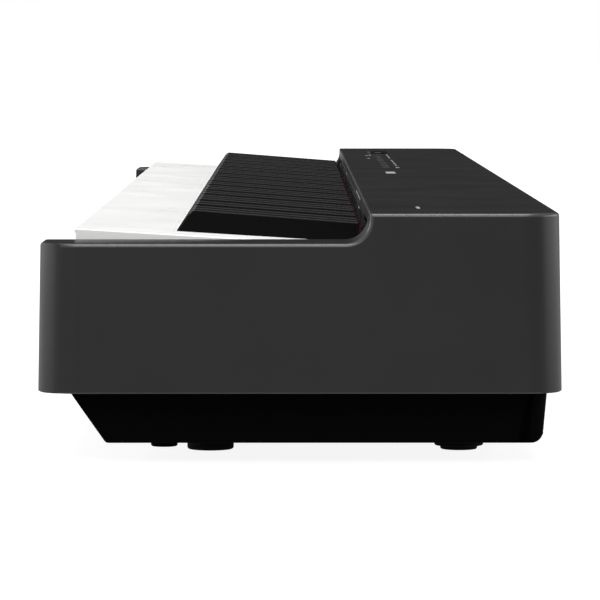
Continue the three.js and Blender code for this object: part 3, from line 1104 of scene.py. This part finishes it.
# A cut strip of felt, whose front and lower edges waver a little along its length.
def makeFelt():
    low, high = boxOf("key_felt")
    chance, chamfer = random.Random(felt["seed"]), felt["chamfer"]
    count = round((high.x - low.x) / felt["step"])
    rings = []
    for i in range(count + 1):
        x = low.x + (high.x - low.x) * i / count
        front = low.y + chance.uniform(0, felt["waver"])
        foot = low.z + chance.uniform(0, felt["waver"])
        section = [(front, foot + chamfer), (front + chamfer, foot), (high.y, foot)]
        section += [(high.y, high.z), (front + chamfer, high.z), (front, high.z - chamfer)]
        rings.append([(x, y, z) for y, z in section])
    takesOver(polish(loft("feltStrip", rings, "redFelt"), felt["sharp"]), "key_felt")


makeFelt()


# A tray with a flange behind the panel's face, and a row of upright bars in its mouth.
def makeSoundSlot(node):
    low, high = boxOf(node)
    front, back, clear = soundSlots["front"], soundSlots["back"], soundSlots["clear"]
    # Liner, flange and bars take the near-black finish: painted shade inside the slot.
    liner = prism(node + "_liner", slotOutline(node, clear), (front, back), "y", "recessPaintedShade")
    outline = roundedRectangle(low.xz, high.xz, soundSlots["flangeCorner"])
    depth = (soundSlots["flangeFront"], high.y)
    united(liner, prism("flange", outline, depth, "y", "recessPaintedShade"))
    inside = slotOutline(node, clear + soundSlots["wall"])
    cut(liner, prism("tray", inside, (front - 2, back), "y", "recessPaintedShade"))
    bottom, top, count = soundSlots["bottom"], soundSlots["top"], soundSlots["bars"]
    half = Vector((*soundSlots["barHalf"], (top - bottom) / 2 - soundSlots["barShort"]))
    bar = barBetween("bar", -half, half, "recessPaintedShade")
    first, last = low.x + soundSlots["barInset"], high.x - soundSlots["barInset"]
    start = (first, front + soundSlots["barBehind"], (top + bottom) / 2)
    step = ((last - first) / (count - 1), 0, 0)
    bars = rowOf("soundBars", bar, count, start, step, "recessPaintedShade")
    takesOver(polish(joined([liner, bars])), node)


for node in slotNodes:
    makeSoundSlot(node)

foot = {
    "round": 1.3,
    "sides": 56,
    "screwRadius": 3.2,
    "screwDepth": 2.6,
    "screwEdge": 0.3,
    "padRadius": 9.8,
    "padRound": 0.8,
    "cupFoot": 2,
    "cupRound": 0.9,
    "cupGap": 0.5,
    "cupEdge": 0.7,
}


# A sunk screw hole, then the sole of a pad out to its rounded rim.
def soleProfile(radius, rounding, steps):
    bore, deep, edge = foot["screwRadius"], foot["screwDepth"], foot["screwEdge"]
    profile = [(0, deep), (bore, deep), (bore, edge), (bore + edge, 0)]
    return profile + arc((radius - rounding, rounding), rounding, -90, 0, steps)


def footOf(node, name, profile):
    piece = turned(node + name, profile, middleOf(node).xy, "z", "footRubber", foot["sides"])
    takesOver(polish(piece), node)


def makeFrontFoot(node):
    low, high = boxOf(node)
    radius = (high.x - low.x) / 2
    profile = soleProfile(radius, foot["round"], 5)
    footOf(node, "_pad", profile + [(radius, high.z), (0, high.z)])


# A softer pad held in a wider cup.
def makeRearFoot(node):
    low, high = boxOf(node)
    radius, padRadius, cupFoot = (high.x - low.x) / 2, foot["padRadius"], foot["cupFoot"]
    gap, rounding = foot["cupGap"], foot["cupRound"]
    profile = soleProfile(padRadius, foot["padRound"], 4)
    profile += [(padRadius, cupFoot + gap), (padRadius + gap, cupFoot + gap)]
    profile += [(padRadius + foot["cupEdge"], cupFoot)]
    profile += arc((radius - rounding, cupFoot + rounding), rounding, -90, 0, 4)
    footOf(node, "_cup", profile + [(radius, high.z), (0, high.z)])


for side in ("left", "right"):
    makeFrontFoot("front_foot_" + side)
    makeRearFoot("rear_foot_" + side)


speaker = {
    "domeRadius": 13,
    "domeHigh": 20,
    "surroundRadius": 3.5,
    "surroundAway": 32,
    "surroundHigh": 1.9,
    "rimWidth": 4,
    "rimHigh": 2,
    "magnetRadius": 20,
    "magnetEdge": 0.6,
    "magnetFoot": 17,
}


# Facing down: a dust cap, a cone and a rolled surround in a basket, with the magnet on top.
def makeSpeaker(node):
    middle, high = middleOf(node), boxOf(node)[1]
    seat, rim = boxOf(node)[0].z, high.x - middle.x
    dome, domeHigh = speaker["domeRadius"], seat + speaker["domeHigh"]
    roll, away = speaker["surroundRadius"], speaker["surroundAway"]
    rollHigh, lip = seat + speaker["surroundHigh"], rim - speaker["rimWidth"]
    magnet, edge = speaker["magnetRadius"], speaker["magnetEdge"]
    profile = [(0, domeHigh - dome)] + arc((0, domeHigh), dome, -85, -48, 6)
    profile += [(away - roll, rollHigh)] + arc((away, rollHigh), roll, 180, 360, 8)
    profile += [(lip, seat), (rim, seat), (rim, seat + speaker["rimHigh"])]
    profile += [(lip - 1, seat + 2.9), (magnet + 2, seat + speaker["magnetFoot"] - 1)]
    profile += [(magnet, seat + speaker["magnetFoot"]), (magnet, high.z - edge)]
    profile += [(magnet - edge, high.z), (0, high.z)]
    piece = turned(node + "_driver", profile, middle.xy, "z", "speakerMetal")
    piece.data.materials.append(finish["speakerPaper"])
    for face in piece.data.polygons:
        reach = (face.center / mm - middle).xy.length
        if reach < lip - 0.2 and face.normal.z < 0.05:
            face.material_index = 1
    takesOver(polish(piece), node)


for side in ("left", "right"):
    makeSpeaker("speaker_" + side)

screw = {
    "radius": 3.4,
    "height": 1.1,
    "rim": 0.35,
    "sunk": 0.2,
    "domeTimes": 3.2,
    "crossHalf": (1.74, 0.39),
    "crossDepth": 0.7,
    "rows": {"frontScrews": -84, "rearScrews": 112},
    "count": 7,
    "reach": 610,
}


# A pan head that hangs under the tray, with a cross recess.
def screwHead():
    radius, height, sunk = screw["radius"], screw["height"], screw["sunk"]
    dome = radius * screw["domeTimes"]
    profile = [(0, -height)] + arc((0, dome - height), dome, -86, -74, 3)
    profile += [(radius, -screw["rim"]), (radius, sunk), (0, sunk)]
    head = turned("screwHead", profile, (0, 0), "z", "screwBlack", 24)
    reach, half = screw["crossHalf"]
    below, deep = -height - 1, -height + screw["crossDepth"]
    for x, y in ((reach, half), (half, reach)):
        cut(head, barBetween("cross", (-x, -y, below), (x, y, deep), "screwBlack"))
    return head


def makeScrews():
    reach, count = screw["reach"], screw["count"]
    step = (2 * reach / (count - 1), 0, 0)
    for name, y in screw["rows"].items():
        start = (-reach, y, tray["bottom"])
        piece = rowOf(name, screwHead(), count, start, step, "screwBlack")
        settle(polish(piece), "case", "tray_plastic")


makeScrews()
print("stage: felt, slots, feet, speakers and screws")


# A stem that reaches down to a switch or a track.
def stemOf(middle, half, low, high):
    near, far = middle - Vector(half), middle + Vector(half)
    return barBetween("stem", (*near, low), (*far, high), "controlPlastic")


# A rounded cap on a wider flange, with a small pale disc let into it: a painted highlight where
# the cap catches the light.
def makeButton(node):
    low, high = boxOf(node)
    middle = middleOf(node).xy
    foot, flangeTop = buttons["flangeFoot"], buttons["flangeTop"]
    half = Vector((buttons["width"] / 2, buttons["depth"] / 2))
    outline = roundedRectangle(middle - half, middle + half, buttons["corner"])
    cap = prism(node + "_cap", outline, (flangeTop - 1, high.z), "z", "controlPlastic")
    roundEdges(cap, lambda mid, direction: buttons["topEdge"] if mid.z > high.z - 0.01 else 0)
    skirt = roundedRectangle(low.xy, high.xy, buttons["corner"] + 1)
    united(cap, prism("flange", skirt, (foot, flangeTop), "z", "controlPlastic"))
    united(cap, stemOf(middle, buttons["stemHalf"], low.z, buttons["stemTop"]))
    # The pale disc in the cap is a painted highlight; it gives no light.
    centre, sides = (middle.x + buttons["highlightAside"], middle.y), buttons["highlightSides"]
    radius, deep = buttons["highlightRadius"], high.z - buttons["highlightDeep"]
    well = plug(radius, (deep, high.z + 1))
    cut(cap, turned("lampWell", well, centre, "z", "controlPlastic", sides))
    radius -= 0.05
    lens = [(0, deep), (radius, deep), (radius, high.z - 0.08), (0, high.z - 0.01)]
    palePiece = turned("capLamp", lens, centre, "z", "lensAndPaintedHighlight", sides)
    takesOver(polish(joined([cap, palePiece])), node)


for name in buttonNames:
    makeButton(name)

power = {
    "radius": 5,
    "stemRadius": 2,
    "flangeRadius": 6.5,
    "ring": (3.15, 3.85),
    "ringDeep": 0.45,
    "ringGap": 0.03,
    "edge": 0.4,
    "dish": 0.25,
    "dishRadius": 2,
}


# A round cap with a lit ring let into it.
def makePowerButton():
    node = "power_button"
    low, high = boxOf(node)
    middle, top = middleOf(node).xy, high.z
    radius, edge = power["radius"], power["edge"]
    stem, flange = power["stemRadius"], power["flangeRadius"]
    foot, flangeTop = buttons["flangeFoot"], buttons["flangeTop"]
    inner, outer = power["ring"]
    groove = top - power["ringDeep"]
    profile = [(0, low.z), (stem, low.z), (stem, foot), (flange, foot), (flange, flangeTop)]
    profile += [(radius, flangeTop)] + arc((radius - edge, top - edge), edge, 0, 90, 4)
    profile += [(outer, top), (outer, groove), (inner, groove), (inner, top)]
    profile += [(power["dishRadius"], top - 0.1), (0, top - power["dish"])]
    cap = turned(node + "_cap", profile, middle, "z", "controlPlastic")
    inner, outer, ringTop = inner + power["ringGap"], outer - power["ringGap"], top - 0.05
    ring = [(inner, groove), (outer, groove), (outer, ringTop), (inner, ringTop)]
    palePiece = turned("ring", ring, middle, "z", "lensAndPaintedHighlight", closed=True)
    takesOver(polish(joined([cap, palePiece])), node)


makePowerButton()

slider = {
    "groove": 2.6,
    "grooveFloor": 120.5,
    "grooveInset": 10,
    "capFoot": 126.2,
    "capEdge": 0.4,
    "ribs": 5,
    "ribStep": 2.1,
    "ribHalf": 0.45,
    "ribDepth": 0.6,
    "stemHalf": (2, 0.9),
    "stemTop": 126.5,
    "lineHalf": 0.35,
}


def makeSliderTrack():
    low, high = boxOf("volume_slider_base")
    # The track takes the near-black finish: painted shade in the slider's mouth.
    base = barBetween("volumeTrack", low, high, "recessPaintedShade")
    middleY, half, inset = (low.y + high.y) / 2, slider["groove"] / 2, slider["grooveInset"]
    start, stop = (low.x + inset, middleY - half), (high.x - inset, middleY + half)
    groove = roundedRectangle(start, stop, half - 0.05)
    depth = (slider["grooveFloor"], high.z + 1)
    cut(base, prism("groove", groove, depth, "z", "recessPaintedShade"))
    takesOver(polish(base), "volume_slider_base")


# The cap has grip notches across it and a pale line in the middle one.
def makeSliderCap():
    node = "volume_slider_cap"
    low, high = boxOf(node)
    middle = middleOf(node)
    outline = roundedRectangle(low.xy, high.xy, 1)
    cap = prism("volumeCap", outline, (slider["capFoot"], high.z), "z", "controlPlastic")
    roundEdges(cap, lambda mid, direction: slider["capEdge"] if mid.z > high.z - 0.01 else 0)
    half, deep = slider["ribHalf"], slider["ribDepth"]
    notch = barBetween("notch", (-half, -10, -deep), (half, 10, 5), "controlPlastic")
    first = middle.x - slider["ribStep"] * (slider["ribs"] - 1) / 2
    start, step = (first, middle.y, high.z), (slider["ribStep"], 0, 0)
    cut(cap, rowOf("notches", notch, slider["ribs"], start, step, "controlPlastic"))
    united(cap, stemOf(middle.xy, slider["stemHalf"], low.z, slider["stemTop"]))
    half, floor = slider["lineHalf"], high.z - deep
    near, far = (middle.x - half, low.y + 0.5), (middle.x + half, high.y - 0.5)
    line = barBetween("line", (*near, floor - 0.1), (*far, floor + 0.45), "printedMark")
    takesOver(polish(joined([cap, line])), node)


makeSliderTrack()
makeSliderCap()

# Printed marks are plain bars and blocks with no lettering.
printed = {"height": 0.06, "sunk": 0.05, "corner": 0.5}
panelRows = {
    # name: first middle x, y, count, step, length, depth, look
    "labelsLeft": (-452, 70, 3, 40, 27, 1.3, "printedMark"),
    "labelsRight": (-297, 70, 4, 40, 27, 1.3, "printedMark"),
    "labelEnd": (-121, 69.7, 1, 0, 22, 2.4, "printedMark"),
    "frontDashes": (-434, 54, 2, 80, 14, 2.2, "printedMark"),
    "volumeTicks": (-553, 57.6, 7, 8.5, 0.8, 2.4, "printedMark"),
    "makerBlocks": (-20, 62.1, 6, 6, 5.4, 6.4, "brightMark"),
    "modelBars": (577, 61.9, 5, 5.2, 4, 1.8, "brightMark"),
}
faceRows = {
    # name: first middle x, z, count, step, length, height, look
    "voiceNames": (-587, 122.6, 40, 23.5, 11, 1.0, "faintMark"),
    "voiceNumbers": (-587, 119.6, 40, 23.5, 5, 0.9, "faintMark"),
    "nearWords": (240, 125.2, 6, 24, 17, 1.2, "brightMark"),
    "lowWords": (322, 118.9, 2, 16, 12, 1.2, "brightMark"),
    "farWords": (-230, 121.8, 2, 30, 20, 1.2, "brightMark"),
}
palePiece = {"place": (-443, 56.7), "radius": 1.3, "height": 0.25, "domeRadius": 3.45, "sunk": 0.4}
volumeField = {"low": (-567, 57.8), "high": (-466, 72), "corner": 2, "sunk": 0.3}


# A row of bars along x, standing proud of a surface that faces up or towards the player.
def printRow(name, start, row, axis):
    count, step, length, width, look = row
    half = Vector((length / 2, width / 2))
    outline = roundedRectangle(-half, half, min(half) * printed["corner"], 3)
    proud, sunk = printed["height"], printed["sunk"]
    span = (-sunk, proud) if axis == "z" else (-proud, sunk)
    dash = prism("dash", outline, span, axis, look)
    settle(rowOf(name, dash, count, start, (step, 0, 0), look), "case", "case_plastic")


def makePrints():
    for name, (x, y, *row) in panelRows.items():
        printRow(name, (x, y, panelZ), row, "z")
    for name, (x, z, *row) in faceRows.items():
        printRow(name, (x, case["faceY"], z), row, "y")


def makePanelLamp():
    height, foot, radius = panelZ + palePiece["height"], panelZ - palePiece["sunk"], palePiece["domeRadius"]
    dome = arc((0, height - radius), radius, 88, 68, 4)[1:]
    profile = [(0, height)] + dome + [(palePiece["radius"], foot), (0, foot)]
    lens = turned("panelLamps", profile, palePiece["place"], "z", "lensAndPaintedHighlight", 20)
    settle(polish(lens), "case", "control_plastic")


# A near-black field round the slider's mouth: painted shade, standing in for a recess round the
# slider.
def makeVolumeField():
    outline = roundedRectangle(volumeField["low"], volumeField["high"], volumeField["corner"])
    span = (panelZ - volumeField["sunk"], panelZ + printed["height"] / 2)
    field = prism("volumeField", outline, span, "z", "recessPaintedShade")
    mouth = roundedRectangle(*sliderMouth(), sliderCorner)
    cut(field, prism("mouth", mouth, (panelZ - 2, panelZ + 2), "z", "recessPaintedShade"))
    settle(polish(field), "case", "control_plastic")


makePrints()
makePanelLamp()
makeVolumeField()
print("stage: controls and marks")

socket = {
    "hole": 3.3,
    "collar": 5.1,
    "proud": 0.6,
    "collarFoot": 0.4,
    "collarEdge": 0.2,
    "mouthEdge": 0.25,
    "sides": 40,
    "pedal": 88,
    "computer": 118,
    "supply": 148,
    "rearPlate": 4.4,  # how thick
    "rearCorner": 1.4,
    "rearEdge": 0.5,
    "bodyInset": (6, 20, 0.7),  # at its left, its right, and above and below
    "computerHalf": Vector((6.2, 5.5)),
    "tongueHalf": Vector((3.1, 1.8)),
    "tongueSpan": (115.8, 128),
    "pinRadius": 0.8,
    "pinSpan": (120.8, 129.5),
    "depths": {"pedal": 102, "computer": 116, "supply": 121},
    "phones": (-588, -568),
    "phonesDepth": -102,
    "phonesCorner": 1.2,
    "phonesEdge": 0.4,
}


# A plated ring round a hole. Outward is 1 on the rear and -1 on the front.
def collar(centre, face, outward):
    inner, outer, far = socket["hole"], socket["collar"], face + outward * socket["proud"]
    foot = face - outward * socket["collarFoot"]
    edge, mouth = socket["collarEdge"], socket["mouthEdge"]
    profile = [(inner, foot), (outer, foot), (outer, far - outward * edge), (outer - edge, far)]
    profile += [(inner + mouth, far), (inner, far - outward * mouth)]
    return turned("collar", profile, centre, "y", "contactMetal", socket["sides"], closed=True)


def bored(piece, centre, span):
    profile = plug(socket["hole"], span)
    return cut(piece, turned("bore", profile, centre, "y", "controlPlastic", socket["sides"]))


def makeRearSockets():
    node = "rear_jack_panel"
    low, high = boxOf(node)
    middleZ, outside, depths = (low.z + high.z) / 2, high.y, socket["depths"]
    thick, past = socket["rearPlate"], outside + 1
    outline = roundedRectangle(low.xz, high.xz, socket["rearCorner"])
    plate = prism("rearSockets", outline, (outside - thick, outside), "y", "controlPlastic")
    roundEdges(plate, lambda mid, way: socket["rearEdge"] if mid.y > outside - 0.01 else 0)
    left, right, level = socket["bodyInset"]
    near = (low.x + left, low.y, low.z + level)
    far = (high.x - right, outside - thick + 1, high.z - level)
    united(plate, barBetween("body", near, far, "controlPlastic"))
    names = ("pedal", "computer", "supply")
    pedal, computer, supply = (Vector((socket[name], middleZ)) for name in names)
    bored(plate, pedal, (depths["pedal"], past))
    bored(plate, supply, (depths["supply"], past))
    half = socket["computerHalf"]
    opening = roundedRectangle(computer - half, computer + half, 0.8)
    cut(plate, prism("opening", opening, (depths["computer"], past), "y", "controlPlastic"))
    half, span = socket["tongueHalf"], socket["tongueSpan"]
    low, high = computer - half, computer + half
    tongue = barBetween("tongue", (low.x, span[0], low.y), (high.x, span[1], high.y), "whiteKey")
    profile = plug(socket["pinRadius"], socket["pinSpan"])
    profile[-1] = (0, profile[-1][1] + 0.5)
    pin = turned("pin", profile, supply, "y", "contactMetal", 20)
    collars = [collar(place, outside, 1) for place in (pedal, supply)]
    takesOver(polish(joined([plate, tongue, pin] + collars)), node)


def makePhonesSockets():
    node = "phones_jack_panel"
    low, high = boxOf(node)
    outline = roundedRectangle(low.xz, high.xz, socket["phonesCorner"])
    plate = prism("phonesSockets", outline, (low.y, high.y), "y", "controlPlastic")
    roundEdges(plate, lambda mid, way: socket["phonesEdge"] if mid.y < low.y + 0.01 else 0)
    places = [(x, (low.z + high.z) / 2) for x in socket["phones"]]
    for place in places:
        bored(plate, place, (low.y - 1, socket["phonesDepth"]))
    collars = [collar(place, low.y, -1) for place in places]
    takesOver(polish(joined([plate] + collars)), node)


makeRearSockets()
makePhonesSockets()
print("stage: sockets")

# The CAD nodes that stay, and those that were replaced and hidden, take the finishes too.
# The CAD nodes that stay, and those kept for collision, take the finishes too.
for name, node in nodes.items():
    node.data.materials.clear()
    node.data.materials.append(finish[slotFinish[nodeSlot[name]]])
